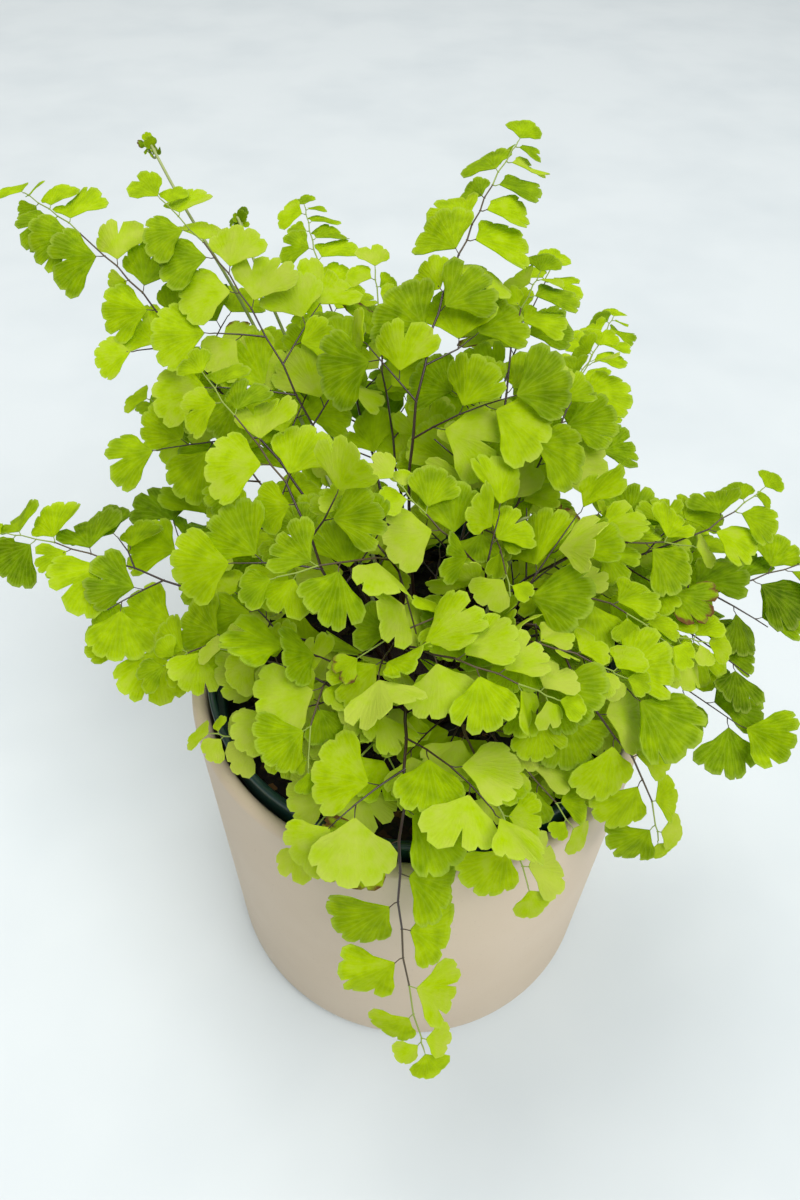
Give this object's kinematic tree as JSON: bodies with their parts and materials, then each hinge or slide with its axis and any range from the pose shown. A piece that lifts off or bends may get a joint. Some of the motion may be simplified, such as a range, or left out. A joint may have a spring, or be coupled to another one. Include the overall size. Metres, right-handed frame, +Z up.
{
  "type": "potted maidenhair fern",
  "caption": "Maidenhair fern with arching wiry fronds of fan-shaped leaflets, growing in a dark nursery pot that stands inside a plain straight-sided ceramic cachepot.",
  "frame": {"origin": "middle of the cachepot's flat underside, on the surface it stands on", "axes": "+Z up along the pot's axis; -Y is the front, where one frond hangs over the rim; +X to the right seen from the front"},
  "size_m": [0.2447, 0.2319, 0.2294],
  "materials": {
    "ceramic": "matte",
    "nursery_plastic": "satin",
    "potting_mix": "rough",
    "rootstock": "rough",
    "stalk": "satin",
    "leaf": "matte",
    "young_shoot": "satin"
  },
  "bodies": {
    "root": {"cachepot": "ceramic", "nursery_pot": "nursery_plastic", "potting_mix": "potting_mix", "rootstock": "rootstock", "back_far_blade": "leaf", "back_far_stalk": "stalk", "back_middle_blade": "leaf", "back_middle_stalk": "stalk", "back_right_blade": "leaf", "back_right_stalk": "stalk", "centre_front_blade": "leaf", "centre_front_stalk": "stalk", "centre_left_blade": "leaf", "centre_left_stalk": "stalk", "centre_right_blade": "leaf", "centre_right_stalk": "stalk", "centre_top_blade": "leaf", "centre_top_stalk": "stalk", "front_hanging_blade": "leaf", "front_hanging_stalk": "stalk", "front_left_low_blade": "leaf", "front_left_low_stalk": "stalk", "front_right_low_blade": "leaf", "front_right_low_stalk": "stalk", "left_back_blade": "leaf", "left_back_stalk": "stalk", "left_inner_blade": "leaf", "left_inner_stalk": "stalk", "left_long_blade": "leaf", "left_long_stalk": "stalk", "left_low_blade": "leaf", "left_low_stalk": "stalk", "left_over_rim_blade": "leaf", "left_over_rim_stalk": "stalk", "right_back_blade": "leaf", "right_back_low_blade": "leaf", "right_back_low_stalk": "stalk", "right_back_stalk": "stalk", "right_front_long_blade": "leaf", "right_front_long_stalk": "stalk", "right_long_blade": "leaf", "right_long_stalk": "stalk", "right_low_blade": "leaf", "right_low_stalk": "stalk", "right_middle_blade": "leaf", "right_middle_stalk": "stalk", "right_over_rim_blade": "leaf", "right_over_rim_stalk": "stalk", "right_upright_blade": "leaf", "right_upright_stalk": "stalk", "shoot_back": "young_shoot", "shoot_left": "young_shoot", "shoot_right": "young_shoot", "tall_back_blade": "leaf", "tall_back_stalk": "stalk", "upper_left_inner_blade": "leaf", "upper_left_inner_stalk": "stalk", "upper_left_long_blade": "leaf", "upper_left_long_stalk": "stalk"}
  },
  "joints": []
}
